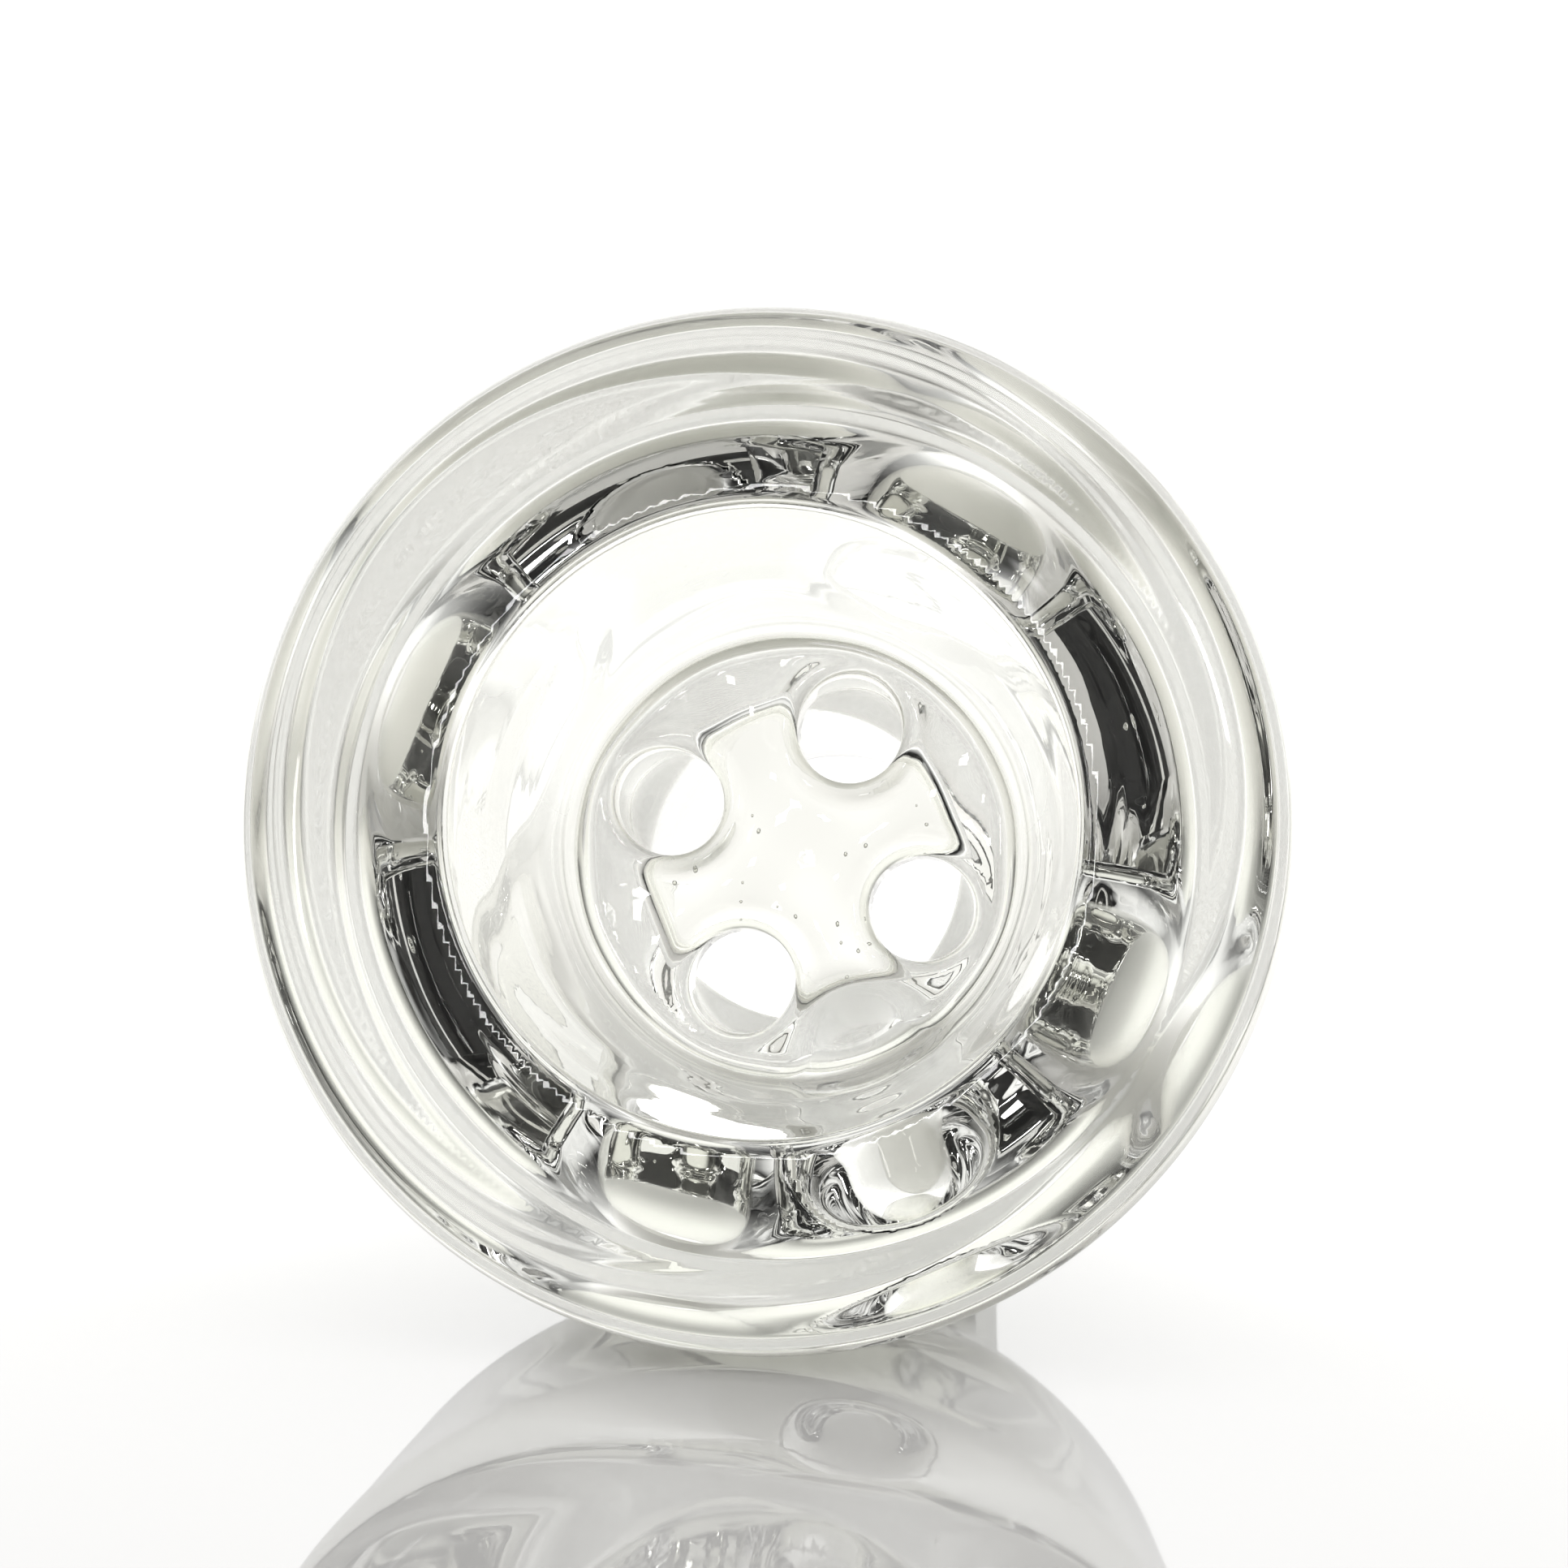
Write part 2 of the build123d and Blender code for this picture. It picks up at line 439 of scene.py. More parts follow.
def peg_seam(x, y, h):
    """Negative in a rod round the peg, on the outside of the bowl."""
    along = x * peg_way[0] + y * peg_way[1]
    aside = x * peg_way[1] - y * peg_way[0]
    return np.where(along > OUTSIDE_ONLY, np.hypot(aside, h - PEG_H), NOT_THE_PEG) - PEG_SEAM_R


def level_seam(level):
    """Negative below that height."""
    return lambda x, y, h: h - level


def onto_both(points, seam):
    """Points moved until they lie on the skin and on the seam."""
    for _ in range(SEAM_ROUNDS):
        points = onto_skin(points)
        gradient = slope_of(seam, points)
        points = points - (seam(*points.T) / (gradient * gradient).sum(1))[:, None] * gradient
    return points


def cut(points, faces, seam):
    """Splits triangles at a seam: all points, the faces below and above, the new points."""
    value = seam(*points.T)
    above = value >= 0
    side = above[faces]
    mixed = side.any(1) & ~side.all(1)
    crossed = faces[mixed]
    side = side[mixed]
    lone_above = side.sum(1) == 1
    lone = np.where(lone_above, side.argmax(1), (~side).argmax(1))
    rows = np.arange(len(crossed))
    a, b, c = (crossed[rows, (lone + k) % 3] for k in range(3))
    pairs = np.sort(np.concatenate([np.stack([a, b], 1), np.stack([a, c], 1)]), 1)
    pairs, which = np.unique(pairs, axis=0, return_inverse=True)
    p, q = pairs.T
    share = (value[p] / (value[p] - value[q]))[:, None]
    fresh = onto_both(points[p] * (1 - share) + points[q] * share, seam)
    new = np.arange(len(fresh)) + len(points)
    ab, ac = new[which.ravel()].reshape(2, -1)
    tips = np.stack([a, ab, ac], 1)
    stumps = np.concatenate([np.stack([ab, b, c], 1), np.stack([ab, c, ac], 1)])
    stump_above = np.tile(~lone_above, 2)
    whole = faces[~mixed]
    whole_above = above[whole[:, 0]]
    lower = np.concatenate([whole[~whole_above], tips[~lone_above], stumps[~stump_above]])
    upper = np.concatenate([whole[whole_above], tips[lone_above], stumps[stump_above]])
    return np.concatenate([points, fresh]), lower, upper, new


skin = np.concatenate([quads[:, [0, 1, 2]], quads[:, [0, 2, 3]]])
points, joint_skin, rest, joint_cut = cut(points, skin, level_seam(JOINT_TOP))
points, neck_skin, rest, neck_cut = cut(points, rest, level_seam(SCREEN_SEAM))
points, rest, rim_skin, rim_cut = cut(points, rest, level_seam(RIM_BASE))
points, screen_skin, rest, screen_cut = cut(points, rest, screen_seam)
points, peg_skin, wall_skin, peg_cut = cut(points, rest, peg_seam)
cuts = (joint_cut, neck_cut, rim_cut, screen_cut, peg_cut)
print("new points on the seams:", [len(new) for new in cuts])

# %% [markdown]
# An open shell is not a piece of glass, so each cut is closed with a cap. Two neighbours share
# the same cap, facing opposite ways. Nearly every cap is a ring between two loops of points, so
# one helper does them all: it walks round both loops by angle and laces them together.

# %% Caps
normals = slope_of(glass, points)
normals /= np.linalg.norm(normals, axis=1)[:, None]


def by_angle(loop, x=lambda p: p[:, 0], y=lambda p: p[:, 1]):
    """A loop of points sorted by the angle at which they stand, and those angles."""
    angles = np.arctan2(y(points[loop]), x(points[loop]))
    order = np.argsort(angles)
    return loop[order], angles[order]


def lace(first, second, facing):
    """Triangles between two loops sorted by angle, turned to face that way."""
    (p, p_angle), (q, q_angle) = first, second
    faces = []
    i = j = 0
    while i < len(p) or j < len(q):
        next_p = p_angle[i + 1] if i + 1 < len(p) else p_angle[(i + 1) % len(p)] + 2 * math.pi
        next_q = q_angle[j + 1] if j + 1 < len(q) else q_angle[(j + 1) % len(q)] + 2 * math.pi
        here_p, here_q = p[i % len(p)], q[j % len(q)]
        if j >= len(q) or (i < len(p) and next_p <= next_q):
            i += 1
            faces.append((here_p, here_q, p[i % len(p)]))
        else:
            j += 1
            faces.append((here_p, here_q, q[j % len(q)]))
    faces = np.array(faces)
    a, b, c = (points[faces[:, k]] for k in range(3))
    wrong = (np.cross(b - a, c - a) * facing(a)).sum(1) < 0
    faces[wrong] = faces[wrong][:, ::-1]
    return faces


def upwards(a):
    """Straight up, for a level cap."""
    return np.tile([0.0, 0.0, 1.0], (len(a), 1))


def outwards(a):
    """Away from the axis, for a cap round it."""
    return a * [1.0, 1.0, 0.0]


def ring(new, radius_between):
    """The outer and the inner loop of a level cut."""
    radius = np.hypot(*points[new][:, :2].T)
    return by_angle(new[radius > radius_between]), by_angle(new[radius <= radius_between])


def add_points(extra):
    """Adds points inside the glass, where they need no true normal."""
    global points, normals
    new = np.arange(len(extra)) + len(points)
    points = np.concatenate([points, extra])
    normals = np.concatenate([normals, np.tile([0.0, 0.0, 1.0], (len(extra), 1))])
    return new


joint_cap = lace(*ring(joint_cut, (BORE_R + JOINT_R) / 2), upwards)
rim_cap = lace(*ring(rim_cut, (MOUTH_R + RIM_R) / 2), upwards)
turn = np.linspace(-math.pi, math.pi, len(screen_cut), endpoint=False)
level = np.full(turn.shape, SCREEN_SEAM)
foot = np.stack([SCREEN_R * np.cos(turn), SCREEN_R * np.sin(turn), level], 1)
screen_foot = by_angle(add_points(foot))
neck_outer, neck_inner = ring(neck_cut, SCREEN_R + 0.5)
neck_cap_inner = lace(screen_foot, neck_inner, upwards)
neck_cap_outer = lace(neck_outer, screen_foot, upwards)
screen_cap = lace(by_angle(screen_cut), screen_foot, outwards)
caps_so_far = (joint_cap, rim_cap, neck_cap_inner, neck_cap_outer, screen_cap)
print("cap triangles:", [len(cap) for cap in caps_so_far])

# %% [markdown]
# The peg's cut is not level, so its cap is a shallow dish of rings that shrink towards a point
# inside the shoulder.

# %% Cap under the roll stop
PEG_CAP_RINGS = 6
PEG_CAP_DEPTH = 1.3
aside_way = np.array([-peg_way[1], peg_way[0], 0.0])
loop = by_angle(peg_cut, x=lambda p: p @ aside_way, y=lambda p: p[:, 2] - PEG_H)
rim_points = points[loop[0]]
dish = rim_points.mean(0) - PEG_CAP_DEPTH * peg_way
peg_cap = []
for step in range(1, PEG_CAP_RINGS):
    share = step / PEG_CAP_RINGS
    inner = (add_points(rim_points * (1 - share) + dish * share), loop[1])
    peg_cap.append(lace(loop, inner, lambda a: np.tile(peg_way, (len(a), 1))))
    loop = inner
tip = add_points(dish[None])[0]
following = np.roll(loop[0], -1)
fan = np.stack([loop[0], following, np.full(len(following), tip)], 1)
first, second = points[fan[0, 0]], points[fan[0, 1]]
faces_out = np.cross(second - first, dish - first) @ peg_way > 0
peg_cap.append(fan if faces_out else fan[:, ::-1])
peg_cap = np.concatenate(peg_cap)
print("cap under the peg:", len(peg_cap), "triangles")


def turned(faces):
    """The same faces, facing the other way."""
    return faces[:, ::-1]


glass_pieces = {
    "joint_tube": (joint_skin, [joint_cap]),
    "neck_collar": (neck_skin, [turned(joint_cap), neck_cap_inner, neck_cap_outer]),
    "four_hole_screen": (screen_skin, [turned(neck_cap_inner), screen_cap]),
    "cup_wall": (wall_skin, [turned(neck_cap_outer), turned(screen_cap), rim_cap, peg_cap]),
    "rolled_rim": (rim_skin, [turned(rim_cap)]),
    "roll_stop": (peg_skin, [turned(peg_cap)]),
}

# %% [markdown]
# ## Bubbles
#
# A disc pressed from a hot gather traps a little air. A bubble is a small shell inside the glass
# whose normals point into the air, that is, towards its own middle. Each one is a little longer
# along the disc than across it. They are placed with a seeded random number, clear of the holes
# and faces.

# %% Bubbles in the screen
BUBBLES = 16
BUBBLE_SEED = 11
BUBBLE_REACH = 4.6
BUBBLE_DEPTH = 0.5
BUBBLE_CLEAR = 0.35
BUBBLE_SMALL, BUBBLE_LARGE = 0.04, 0.09
BUBBLE_STRETCH = np.array([1.0, 1.3, 0.9])
BUBBLE_RINGS, BUBBLE_SIDES = 6, 10
random = np.random.default_rng(BUBBLE_SEED)


def shell(middle, radius, stretch):
    """Points, normals and triangles of an air bubble: a small sphere facing inwards."""
    tilt = np.repeat(np.arange(1, BUBBLE_RINGS) * math.pi / BUBBLE_RINGS, BUBBLE_SIDES)
    turn = np.tile(np.arange(BUBBLE_SIDES) * 2 * math.pi / BUBBLE_SIDES, BUBBLE_RINGS - 1)
    ball = np.stack([np.sin(tilt) * np.cos(turn), np.sin(tilt) * np.sin(turn), np.cos(tilt)], 1)
    ball = np.concatenate([ball, [[0, 0, 1], [0, 0, -1]]])
    top, bottom = len(ball) - 2, len(ball) - 1
    faces = []
    for side in range(BUBBLE_SIDES):
        beside = (side + 1) % BUBBLE_SIDES
        faces.append((top, beside, side))
        last = (BUBBLE_RINGS - 2) * BUBBLE_SIDES
        faces.append((bottom, last + side, last + beside))
        for row in range(0, last, BUBBLE_SIDES):
            faces.append((row + side, row + beside, row + BUBBLE_SIDES + side))
            faces.append((row + beside, row + BUBBLE_SIDES + beside, row + BUBBLE_SIDES + side))
    faces = np.array(faces)
    a, b, c = (ball[faces[:, k]] for k in range(3))
    outward = (np.cross(b - a, c - a) * (a + b + c)).sum(1) > 0
    faces[outward] = faces[outward][:, ::-1]
    return middle + ball * radius * stretch, -ball, faces


bubble_faces = []
while len(bubble_faces) < BUBBLES:
    x, y = random.uniform(-BUBBLE_REACH, BUBBLE_REACH, 2)
    h = random.uniform(NECK_TOP + BUBBLE_DEPTH, SCREEN_TOP - BUBBLE_DEPTH)
    radius = random.uniform(BUBBLE_SMALL, BUBBLE_LARGE)
    near_skin = glass(np.array([x]), np.array([y]), np.array([h]))[0] > -BUBBLE_CLEAR
    if near_skin or math.hypot(x, y) > BUBBLE_REACH:
        continue
    spots, ways, faces = shell(np.array([x, y, h]), radius, BUBBLE_STRETCH)
    start = len(points)
    points = np.concatenate([points, spots])
    normals = np.concatenate([normals, ways])
    bubble_faces.append(faces + start)
screen_skin = np.concatenate([screen_skin] + bubble_faces)
glass_pieces["four_hole_screen"] = (screen_skin, glass_pieces["four_hole_screen"][1])
print(len(bubble_faces), "bubbles")

# %% [markdown]
# ## Blender objects
#
# Each piece gets its skin and its caps as one closed mesh, with a second material slot for the
# caps. The normals of the skin are the field's own, set on every corner.

# %% Make the pieces
def make_piece(name, skin_faces, caps, material, seam_material):
    """A closed mesh object from faces of the shared points, in the row frame."""
    cap_faces = np.concatenate(caps)
    faces = np.concatenate([skin_faces, cap_faces])
    used, local = np.unique(faces, return_inverse=True)
    local = local.reshape(faces.shape)
    mesh = bpy.data.meshes.new(name)
    mesh.vertices.add(len(used))
    mesh.vertices.foreach_set("co", laid_down(points[used]).ravel())
    mesh.loops.add(faces.size)
    mesh.loops.foreach_set("vertex_index", local.ravel().astype(np.int32))
    mesh.polygons.add(len(faces))
    mesh.polygons.foreach_set("loop_start", np.arange(0, faces.size, 3, dtype=np.int32))
    mesh.polygons.foreach_set("use_smooth", np.ones(len(faces), bool))
    mesh.materials.append(material)
    mesh.materials.append(seam_material)
    slots = np.repeat([0, 1], [len(skin_faces), len(cap_faces)]).astype(np.int32)
    mesh.polygons.foreach_set("material_index", slots)
    mesh.update(calc_edges=True)
    a, b, c = (points[cap_faces[:, k]] for k in range(3))
    flat = np.cross(b - a, c - a)
    flat /= np.maximum(np.linalg.norm(flat, axis=1), 1e-12)[:, None]
    cap_normals = np.repeat(flat, 3, axis=0)
    corner_normals = np.concatenate([normals[skin_faces].reshape(-1, 3), cap_normals])
    mesh.normals_split_custom_set((corner_normals @ axes).tolist())
    made = bpy.data.objects.new(name, mesh)
    bpy.context.scene.collection.objects.link(made)
    return made

# %% [markdown]
# ## Shared effects
#
# Two things happen to worked glass in more than one place, so each is a node group that only
# returns values or normals. `along_the_bowl` says where a point lies: its height, its distance
# from the axis and the way it faces, all in millimetres. `flow_lines` is the faint waviness that
# the glass takes on when it is turned in the flame: it runs round the bowl, so it changes quickly
# along the axis and slowly round it.

# %% Node helpers
def add_node(tree, kind, **settings):
    """A new node with its properties set."""
    node = tree.nodes.new(kind)
    for key, value in settings.items():
        setattr(node, key, value)
    return node


def plug(tree, socket, value):
    """Feeds a socket from another socket or with a constant."""
    if isinstance(value, bpy.types.NodeSocket):
        tree.links.new(value, socket)
    else:
        socket.default_value = value


def calculate(tree, operation, a, b=0.0, clamp=False):
    """One step of arithmetic."""
    node = add_node(tree, "ShaderNodeMath", operation=operation, use_clamp=clamp)
    plug(tree, node.inputs[0], a)
    plug(tree, node.inputs[1], b)
    return node.outputs[0]


def projected(tree, vector, along):
    """How far a vector reaches along a constant direction."""
    node = add_node(tree, "ShaderNodeVectorMath", operation="DOT_PRODUCT")
    plug(tree, node.inputs[0], vector)
    plug(tree, node.inputs[1], along)
    return node.outputs["Value"]


def soft_step(tree, value, low, high, to_low=0.0, to_high=1.0):
    """Runs from one level to the other as the value goes from low to high."""
    node = add_node(tree, "ShaderNodeMapRange", interpolation_type="SMOOTHSTEP")
    ends = {"From Min": low, "From Max": high, "To Min": to_low, "To Max": to_high}
    plug(tree, node.inputs["Value"], value)
    for name, end in ends.items():
        plug(tree, node.inputs[name], end)
    return node.outputs[0]


def new_group(name, inputs, outputs):
    """An empty node group with named sockets; returns it with its inner input and output nodes."""
    group = bpy.data.node_groups.new(name, "ShaderNodeTree")
    for socket_name, default in inputs.items():
        socket = group.interface.new_socket(
            socket_name, in_out="INPUT", socket_type="NodeSocketFloat"
        )
        socket.default_value = default
    for socket_name, kind in outputs.items():
        group.interface.new_socket(socket_name, in_out="OUTPUT", socket_type=kind)
    return group, group.nodes.new("NodeGroupInput"), group.nodes.new("NodeGroupOutput")


def use_group(tree, group, **inputs):
    """A group placed in a tree, with some of its inputs set."""
    node = add_node(tree, "ShaderNodeGroup", node_tree=group)
    for name, value in inputs.items():
        plug(tree, node.inputs[name.replace("_", " ")], value)
    return node


# %% Group along_the_bowl
where, _, group_out = new_group(
    "along_the_bowl",
    {},
    {"Height": "NodeSocketFloat", "Radius": "NodeSocketFloat", "Facing": "NodeSocketVector"},
)
spot = add_node(where, "ShaderNodeTexCoord").outputs["Object"]
from_end = add_node(where, "ShaderNodeVectorMath", operation="SUBTRACT")
plug(where, from_end.inputs[0], spot)
plug(where, from_end.inputs[1], joint_end * MM)
x, y, h = (projected(where, from_end.outputs[0], axis / MM) for axis in axes)
x_squared = calculate(where, "MULTIPLY", x, x)
y_squared = calculate(where, "MULTIPLY", y, y)
r = calculate(where, "SQRT", calculate(where, "ADD", x_squared, y_squared))
facing = add_node(where, "ShaderNodeCombineXYZ")
plug(where, facing.inputs["X"], calculate(where, "DIVIDE", x, r))
plug(where, facing.inputs["Y"], calculate(where, "DIVIDE", y, r))
plug(where, group_out.inputs["Height"], h)
plug(where, group_out.inputs["Radius"], r)
plug(where, group_out.inputs["Facing"], facing.outputs[0])
print("group", where.name, "gives", [socket.name for socket in where.interface.items_tree])

# %% Group flow_lines
flow, group_in, group_out = new_group(
    "flow_lines",
    {"Depth mm": 0.01, "Lines per mm": 0.5, "Turns": 1.0},
    {"Normal": "NodeSocketVector"},
)
place = use_group(flow, where)
waves = add_node(flow, "ShaderNodeCombineXYZ")
turned_way = add_node(flow, "ShaderNodeSeparateXYZ")
plug(flow, turned_way.inputs[0], place.outputs["Facing"])
for axis in "XY":
    round_it = calculate(flow, "MULTIPLY", turned_way.outputs[axis], group_in.outputs["Turns"])
    plug(flow, waves.inputs[axis], round_it)
across = calculate(flow, "ADD", place.outputs["Height"], place.outputs["Radius"])
along_it = calculate(flow, "MULTIPLY", across, group_in.outputs["Lines per mm"])
plug(flow, waves.inputs["Z"], along_it)
streaks = add_node(flow, "ShaderNodeTexNoise")
plug(flow, streaks.inputs["Vector"], waves.outputs[0])
plug(flow, streaks.inputs["Scale"], 1.0)
plug(flow, streaks.inputs["Detail"], 2.0)
dent = add_node(flow, "ShaderNodeBump")
plug(flow, dent.inputs["Height"], streaks.outputs[0])
plug(flow, dent.inputs["Distance"], calculate(flow, "MULTIPLY", group_in.outputs["Depth mm"], MM))
plug(flow, group_out.inputs["Normal"], dent.outputs[0])

# %% [markdown]
# ## Clear glass
#
# Clear glass needs little of a shader: full transmission, no roughness and the refractive index
# of borosilicate, 1.474. The tint is the faint yellow-green that a thick edge shows. The flow
# lines are only three thousandths of a millimetre deep: deeper ones wash the reflections out.

# %% Clear glass material
FLOW_DEPTH = 0.003
FLOW_LINES = 0.55
FLOW_TURNS = 0.9
IOR_GLASS = 1.474
EDGE_TINT = (0.966, 0.969, 0.925, 1)


def new_shader(name):
    """A material with only a Principled shader: the material, its tree and the shader."""
    material = bpy.data.materials.new(name)
    material.use_nodes = True
    tree = material.node_tree
    tree.nodes.clear()
    shader = tree.nodes.new("ShaderNodeBsdfPrincipled")
    tree.links.new(shader.outputs[0], tree.nodes.new("ShaderNodeOutputMaterial").inputs[0])
    return material, tree, shader


def make_clear(shader):
    """Sets a Principled shader to clear borosilicate."""
    shader.inputs["Base Color"].default_value = EDGE_TINT
    shader.inputs["Roughness"].default_value = 0.0
    shader.inputs["IOR"].default_value = IOR_GLASS
    shader.inputs["Transmission Weight"].default_value = 1.0


clear_glass, tree, shader = new_shader("clear_glass")
make_clear(shader)
lines = use_group(tree, flow, Depth_mm=FLOW_DEPTH, Lines_per_mm=FLOW_LINES, Turns=FLOW_TURNS)
plug(tree, shader.inputs["Normal"], lines.outputs["Normal"])

# %% [markdown]
# ## Ground glass
#
# The joint is the same glass with its outer cone ground on a wheel, so that it seals in a socket.
# The cone is matt and the bore and the end face stay clear. A mask picks the cone out by height
# and radius, with an edge that wanders a little, as the edge of a ground band does. Inside the
# mask the surface is rough and carries a fine grain. Real ground glass is rougher than this: seen
# through the bowl from its mouth, a rougher joint greys the clear glass round it.

# %% Ground glass material
GROUND_ROUGHNESS = 0.2
BAND_RAGGED_MM = 0.5
BAND_SCALE = 900.0
GRAIN_SCALE = 7000.0
GRAIN_DEPTH = 0.00002
ground_glass, tree, shader = new_shader("ground_glass")
make_clear(shader)
place = use_group(tree, where)
rough_edge = add_node(tree, "ShaderNodeTexNoise")
plug(tree, rough_edge.inputs["Vector"], add_node(tree, "ShaderNodeTexCoord").outputs["Object"])
plug(tree, rough_edge.inputs["Scale"], BAND_SCALE)
ragged = calculate(tree, "MULTIPLY", rough_edge.outputs[0], BAND_RAGGED_MM)
height = calculate(tree, "ADD", place.outputs["Height"], ragged)
above_end = soft_step(tree, height, 0.7, 1.0)
below_neck = soft_step(tree, height, JOINT_TOP - 0.5, JOINT_TOP - 0.9)
on_outside = soft_step(tree, place.outputs["Radius"], BORE_R + 0.3, BORE_R + 0.5)
in_band = calculate(tree, "MULTIPLY", above_end, below_neck)
ground = calculate(tree, "MULTIPLY", in_band, on_outside)
plug(tree, shader.inputs["Roughness"], calculate(tree, "MULTIPLY", ground, GROUND_ROUGHNESS))
grain = add_node(tree, "ShaderNodeTexNoise")
plug(tree, grain.inputs["Vector"], add_node(tree, "ShaderNodeTexCoord").outputs["Object"])
plug(tree, grain.inputs["Scale"], GRAIN_SCALE)
pits = add_node(tree, "ShaderNodeBump")
plug(tree, pits.inputs["Height"], calculate(tree, "MULTIPLY", grain.outputs[0], ground))
plug(tree, pits.inputs["Distance"], GRAIN_DEPTH)
lines = use_group(tree, flow, Depth_mm=FLOW_DEPTH, Lines_per_mm=FLOW_LINES, Turns=FLOW_TURNS)
plug(tree, pits.inputs["Normal"], lines.outputs["Normal"])
plug(tree, shader.inputs["Normal"], pits.outputs[0])

# %% [markdown]
# ## Fused seams
#
# A cap inside the glass must not be seen, because the melted joint can't be seen. It is there so
# that each piece is closed, and it lets all light through unbent.

# %% Fused seam material
fused_seam, tree, shader = new_shader("fused_seam")
shader.inputs["Alpha"].default_value = 0.0

# %% Place the pieces
for node, (skin_faces, caps) in glass_pieces.items():
    finish = ground_glass if node == "joint_tube" else clear_glass
    piece = make_piece("glass_" + node, skin_faces, caps, finish, fused_seam)
    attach(piece, "root")
    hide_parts(node)
    print(piece.name, len(piece.data.polygons), "triangles")

# %% [markdown]
# ## Table
#
# The bowl lies on a sheet of glossy white acrylic. Seen at a low angle the sheet mirrors the
# bright wall behind, and that makes it white. Its own colour is duller, and shows where the bowl
# stands between it and that wall. In front of the bowl its colour is painted darker than behind
# it: painted shade for light that falls off towards the camera, which a real sheet does not carry.
# It keeps the bowl's reflection clear.

# %% Acrylic sheet
SHEET_HALF = 2.0
# The colour in front is painted shade; behind the bowl the sheet keeps its own colour.
SHEET_NEAR_SHADED = 0.5
SHEET_FAR = 0.85
SHEET_SHADE_CHANGE = 0.03
SHEET_WARMTH = {"Red": 1.0, "Green": 0.985, "Blue": 0.965}


def flat_sheet(name, low, high, z, material):
    """A level rectangle."""
    (left, front), (right, back) = low, high
    corners = [(left, front, z), (right, front, z), (right, back, z), (left, back, z)]
    mesh = bpy.data.meshes.new(name)
    mesh.from_pydata(corners, [], [(0, 1, 2, 3)])
    mesh.materials.append(material)
    sheet = bpy.data.objects.new(name, mesh)
    bpy.context.scene.collection.objects.link(sheet)
    return sheet


white_acrylic, tree, shader = new_shader("white_acrylic")
shader.inputs["IOR"].default_value = 1.5
haze = add_node(tree, "ShaderNodeTexNoise")
plug(tree, haze.inputs["Vector"], add_node(tree, "ShaderNodeTexCoord").outputs["Object"])
plug(tree, haze.inputs["Scale"], 30.0)
plug(tree, shader.inputs["Roughness"], soft_step(tree, haze.outputs[0], 0.3, 0.7, 0.02, 0.045))
# Painted shade: the sheet is coloured darker in front of the bowl than behind it.
along_table = projected(tree, add_node(tree, "ShaderNodeTexCoord").outputs["Object"], (0, 1, 0))
shade = add_node(tree, "ShaderNodeCombineColor")
for channel, share in SHEET_WARMTH.items():
    near, far = SHEET_NEAR_SHADED * share, SHEET_FAR * share
    painted_shade = soft_step(tree, along_table, -SHEET_SHADE_CHANGE, SHEET_SHADE_CHANGE, near, far)
    plug(tree, shade.inputs[channel], painted_shade)
plug(tree, shader.inputs["Base Color"], shade.outputs[0])
flat_sheet("table", (-SHEET_HALF, -SHEET_HALF), (SHEET_HALF, SHEET_HALF), 0.0, white_acrylic)

# %% [markdown]
# ## Black card in front
#
# White glass on a white ground vanishes. A studio gives it edges by keeping the room dark on the
# camera's side: wherever the bowl turns light right back, it shows that darkness. Here a black
# card lies on the table in front, out of the picture. Only light bent by the glass can see it.

# %% Front card
CARD_FRONT = -0.9
CARD_BACK = -0.034
CARD_HALF = 0.6
CARD_LIFT = 0.0004
CARD_BLACK = (0.01, 0.01, 0.01, 1)
black_card, tree, shader = new_shader("black_card")
felt = add_node(tree, "ShaderNodeTexNoise")
plug(tree, felt.inputs["Scale"], 400.0)
plug(tree, shader.inputs["Roughness"], soft_step(tree, felt.outputs[0], 0.3, 0.7, 0.9, 1.0))
shader.inputs["Base Color"].default_value = CARD_BLACK
shader.inputs["Specular IOR Level"].default_value = 0.0
low, high = (-CARD_HALF, CARD_FRONT), (CARD_HALF, CARD_BACK)
card = flat_sheet("front_card", low, high, CARD_LIFT, black_card)
card.visible_camera = False
card.visible_diffuse = False
card.visible_glossy = False
card.visible_shadow = False

# %% [markdown]
# ## Studio
#
# The room is a white tent that is open towards the camera. Its brightness depends on the angle
# from the camera's side: dark up to the edge of the opening, grey at the sides and white behind,
# with a lit ceiling. Small soft boxes stand in the dark part and give the glass its sparkles. The
# plain background that the camera sees, and the light that falls on the table, are even. What the
# camera sees mirrored straight away, in the table or on the glass, is made brighter by
# `MIRROR_GAIN`. That is not physics: it stands in for a brighter wall, which the light bent by
# the glass would not bear.

# %% Studio light
TENT_WHITE = 1.2
ROOM_DARK = 0.015
MIRROR_GAIN = 1.7
EVEN_LIGHT = 1.15
BACKGROUND_WHITE = 1.0
CEILING_LIGHT = 1.0
world = bpy.data.worlds.new("studio")
bpy.context.scene.world = world
world.use_nodes = True
world.cycles.sampling_method = "NONE"
tree = world.node_tree
tree.nodes.clear()


def direction(turn, rise):
    """A unit vector from the bowl, by its turn from straight ahead and its rise, in degrees."""
    turn, rise = math.radians(turn), math.radians(rise)
    return (math.sin(turn) * math.cos(rise), -math.cos(turn) * math.cos(rise), math.sin(rise))


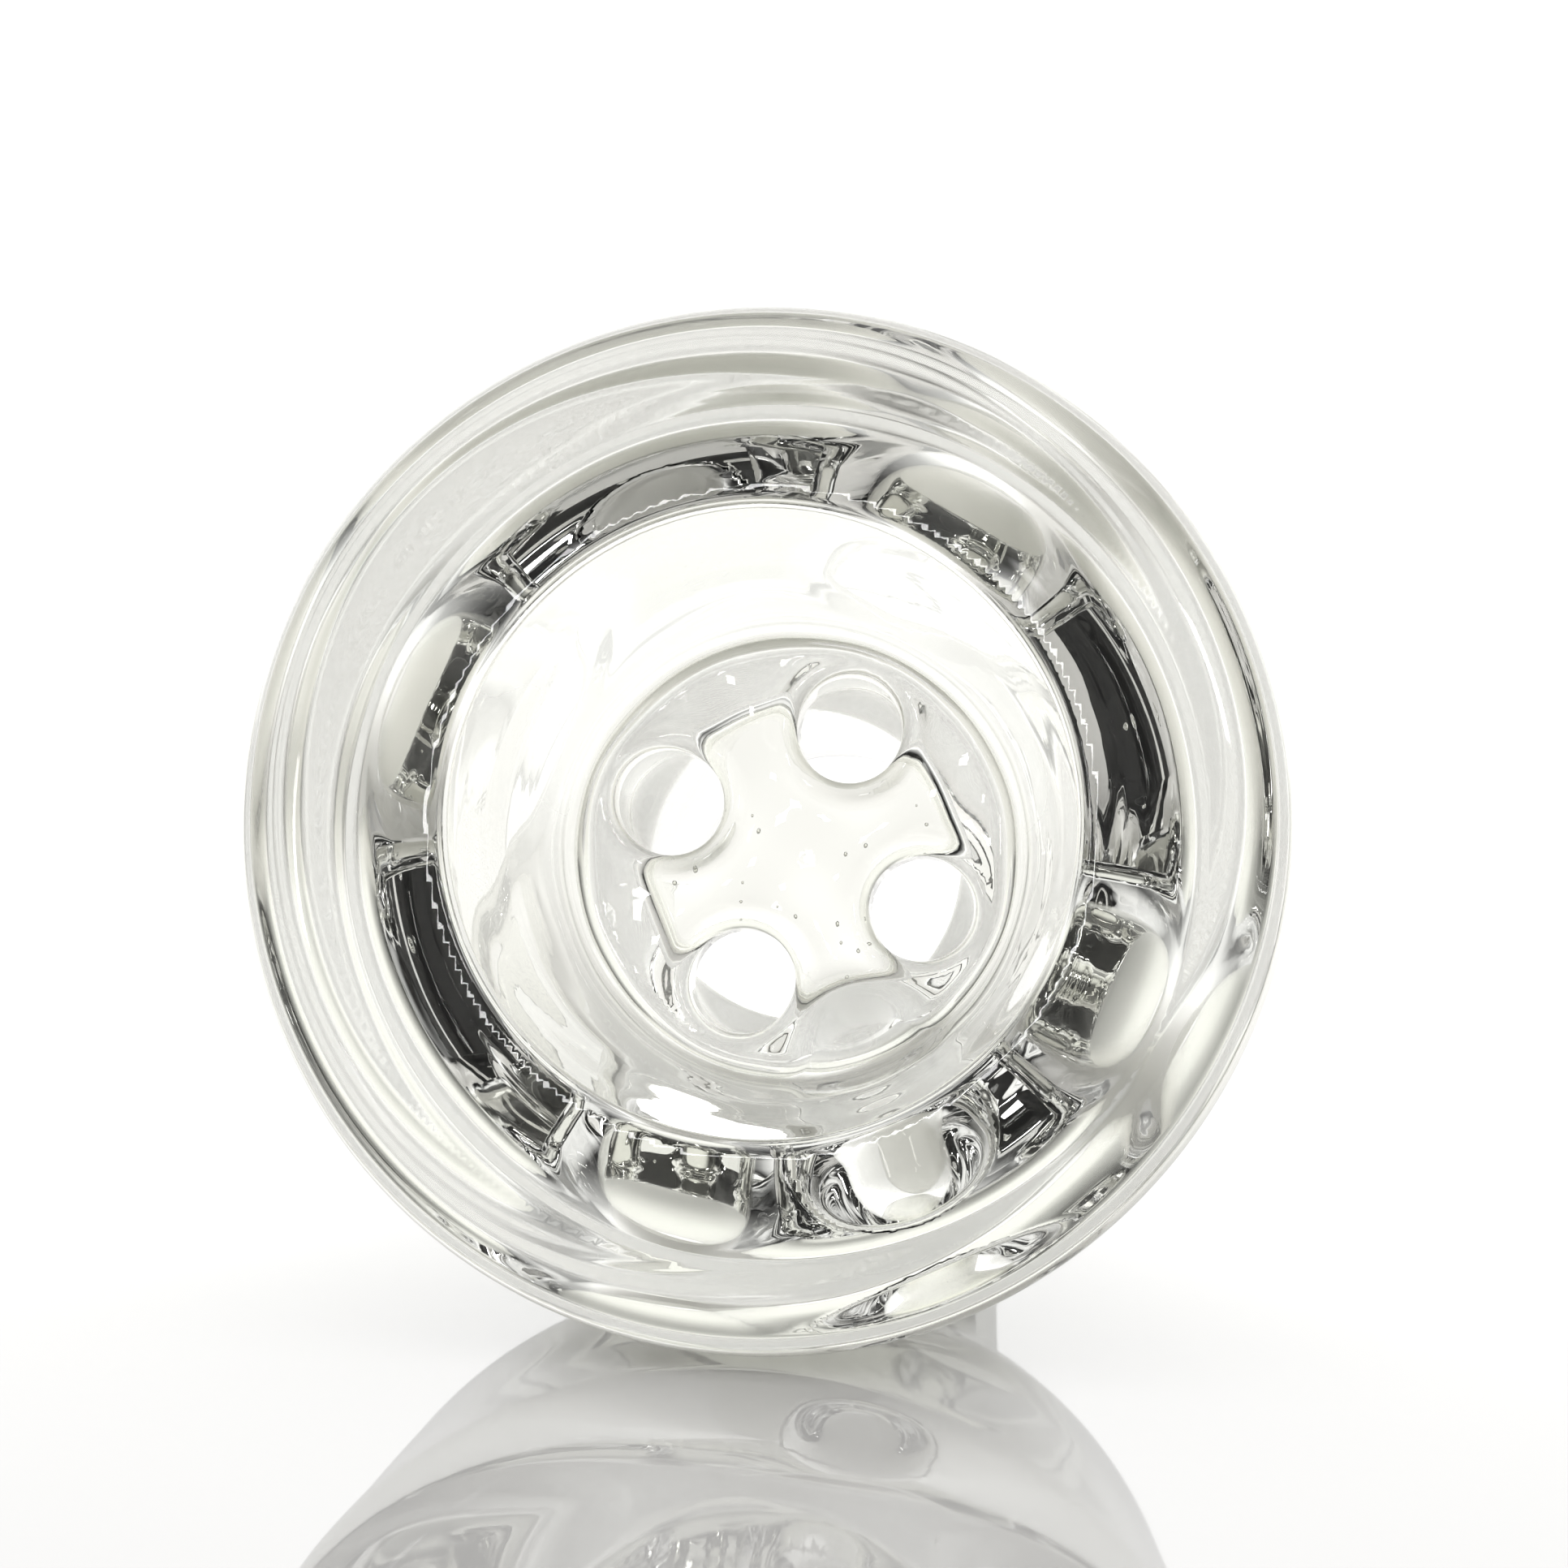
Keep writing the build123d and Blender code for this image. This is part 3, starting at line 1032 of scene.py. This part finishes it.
way = add_node(tree, "ShaderNodeTexCoord").outputs["Generated"]
from_front = calculate(tree, "ARCCOSINE", projected(tree, way, direction(0, 10)))
tent = add_node(tree, "ShaderNodeValToRGB")
plug(tree, tent.inputs[0], calculate(tree, "DIVIDE", from_front, math.pi))
TENT_STOPS = [
    (0, 0.0), (95, 0.0), (108, 0.15), (128, 0.5),
    (140, 1.0), (160, 1.05), (172, 1.25), (180, 1.25),
]
elements = tent.color_ramp.elements
while len(elements) < len(TENT_STOPS):
    elements.new(0.5)
for element, (degrees, share) in zip(elements, TENT_STOPS):
    element.position = degrees / 180
    element.color = (share / 2, share / 2, share / 2, 1)
tent_light = calculate(tree, "MULTIPLY", tent.outputs[0], 2 * TENT_WHITE)
light = calculate(tree, "ADD", tent_light, ROOM_DARK)
rise = projected(tree, way, (0, 0, 1))
light = calculate(tree, "MAXIMUM", light, soft_step(tree, rise, 0.6, 0.9, 0.0, CEILING_LIGHT))


def soft_box(turn, rise, half_width, half_height, strength, edge=0.15):
    """A bright rectangle with soft edges in that direction, its size in degrees."""
    ahead = Vector(direction(turn, rise))
    right = Vector((math.cos(math.radians(turn)), math.sin(math.radians(turn)), 0))
    up = ahead.cross(right)
    depth = projected(tree, way, ahead)
    shares = [soft_step(tree, depth, 0.0, 0.01, 0.0, strength)]
    for across, half in ((right, half_width), (up, half_height)):
        sideways = calculate(tree, "DIVIDE", projected(tree, way, across), depth)
        offset = calculate(tree, "ABSOLUTE", sideways)
        reach = math.tan(math.radians(half))
        shares.append(soft_step(tree, offset, reach, reach * (1 - edge)))
    narrowed = calculate(tree, "MULTIPLY", shares[0], shares[1])
    return calculate(tree, "MULTIPLY", narrowed, shares[2])


SOFT_BOXES = [(-3.5, 15.5, 1.8, 1.8, 9.0), (28, 25, 3, 5, 6.0), (-35, 10, 2.0, 6, 6.0)]
for box in SOFT_BOXES:
    light = calculate(tree, "ADD", light, soft_box(*box))


def instead_if(chance, usual, even):
    """The usual light, or an even level for the rays that the chance picks."""
    mix = add_node(tree, "ShaderNodeMix", data_type="FLOAT")
    plug(tree, mix.inputs[0], chance)
    plug(tree, mix.inputs[2], usual)
    plug(tree, mix.inputs[3], even)
    return mix.outputs[0]


rays = add_node(tree, "ShaderNodeLightPath")
first_bounce = calculate(tree, "LESS_THAN", rays.outputs["Ray Depth"], 2.5)
mirrored = calculate(tree, "MULTIPLY", first_bounce, rays.outputs["Is Glossy Ray"])
light = calculate(tree, "MULTIPLY", light, soft_step(tree, mirrored, 0.0, 1.0, 1.0, MIRROR_GAIN))
from_dull = calculate(tree, "GREATER_THAN", rays.outputs["Diffuse Depth"], 0.5)
light = instead_if(from_dull, light, EVEN_LIGHT)
light = instead_if(rays.outputs["Is Camera Ray"], light, BACKGROUND_WHITE)
background = add_node(tree, "ShaderNodeBackground")
plug(tree, background.inputs["Strength"], light)
background.inputs["Color"].default_value = (1, 1, 1, 1)
tree.links.new(background.outputs[0], add_node(tree, "ShaderNodeOutputWorld").inputs[0])
print("tent", TENT_WHITE, "dark room", ROOM_DARK, "with", len(SOFT_BOXES), "soft boxes")

# %% [markdown]
# ## Camera
#
# A long lens at about a quarter of a metre looks into the mouth from a little above and to the
# right. Its target is the middle of the mouth, shifted so that the bowl sits high in the picture
# and leaves room for its reflection.

# %% Camera
CAMERA_TURN = 3.4
CAMERA_RISE = 9.0
CAMERA_ROLL = 1.9
CAMERA_MM = 233.0
SENSOR_MM = 36
FIELD_MM = 1932 / 40.8
TARGET_RIGHT_MM = 0.53
TARGET_UP_MM = 1.32
back = np.array(direction(CAMERA_TURN, CAMERA_RISE))
aim = Vector(-back).to_track_quat("-Z", "Y") @ Quaternion((0, 0, 1), math.radians(CAMERA_ROLL))
view = np.array(aim.to_matrix())
MOUTH_MIDDLE_MM = 2.4
mouth = laid_down(np.array([[0, 0, RIM_TOP - MOUTH_MIDDLE_MM]]))[0]
target = mouth + MM * (view[:, 0] * TARGET_RIGHT_MM + view[:, 1] * TARGET_UP_MM)
lens = bpy.data.cameras.new("camera")
camera = bpy.data.objects.new("camera", lens)
bpy.context.scene.collection.objects.link(camera)
camera.rotation_mode = "QUATERNION"
camera.rotation_quaternion = aim
camera.location = Vector(target + back * CAMERA_MM * MM)
lens.sensor_width = SENSOR_MM
lens.lens = SENSOR_MM * CAMERA_MM / FIELD_MM
lens.clip_start = 0.005
lens.clip_end = 10
scene = bpy.context.scene
scene.camera = camera
print("camera at", in_short(camera.location, 3), "with a", round(lens.lens), "mm lens")

# %% [markdown]
# Light passes a dozen surfaces before it leaves the bowl, so it is given more bounces than usual.
# The Standard view keeps the white ground white.

# %% Light paths
scene.view_settings.view_transform = "Standard"
GLASS_BOUNCES = 32
scene.cycles.max_bounces = GLASS_BOUNCES
scene.cycles.transmission_bounces = GLASS_BOUNCES
scene.cycles.glossy_bounces = GLASS_BOUNCES // 2
scene.cycles.transparent_max_bounces = GLASS_BOUNCES * 2
